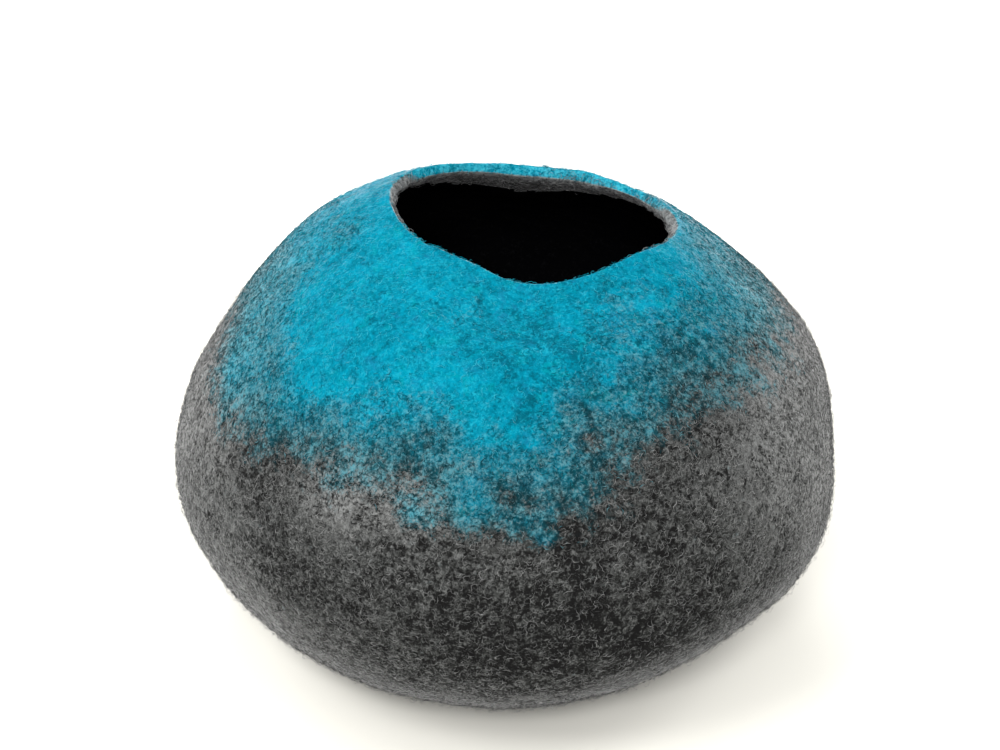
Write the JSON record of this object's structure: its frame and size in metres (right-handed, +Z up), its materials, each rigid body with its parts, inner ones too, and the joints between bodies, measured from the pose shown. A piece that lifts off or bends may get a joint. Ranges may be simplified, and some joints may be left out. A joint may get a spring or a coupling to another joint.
{
  "type": "felt cat cave",
  "caption": "Seamless hollow cave of thick wool felt for a cat to sleep in, with a flattened base and a round mouth in its top.",
  "frame": {"origin": "on the floor, under the middle of the cave's bounding box", "axes": "+Z up through the mouth, -Y towards the front, where the mouth's edge sags, +X to the cave's right as seen from the front"},
  "size_m": [0.5164, 0.4942, 0.3481],
  "materials": {
    "wool_felt": "matt fulled wool felt, turquoise blue over the top, fading in patches into a heathered charcoal grey"
  },
  "bodies": {
    "root": {"felt_shell": "wool_felt"}
  },
  "joints": []
}
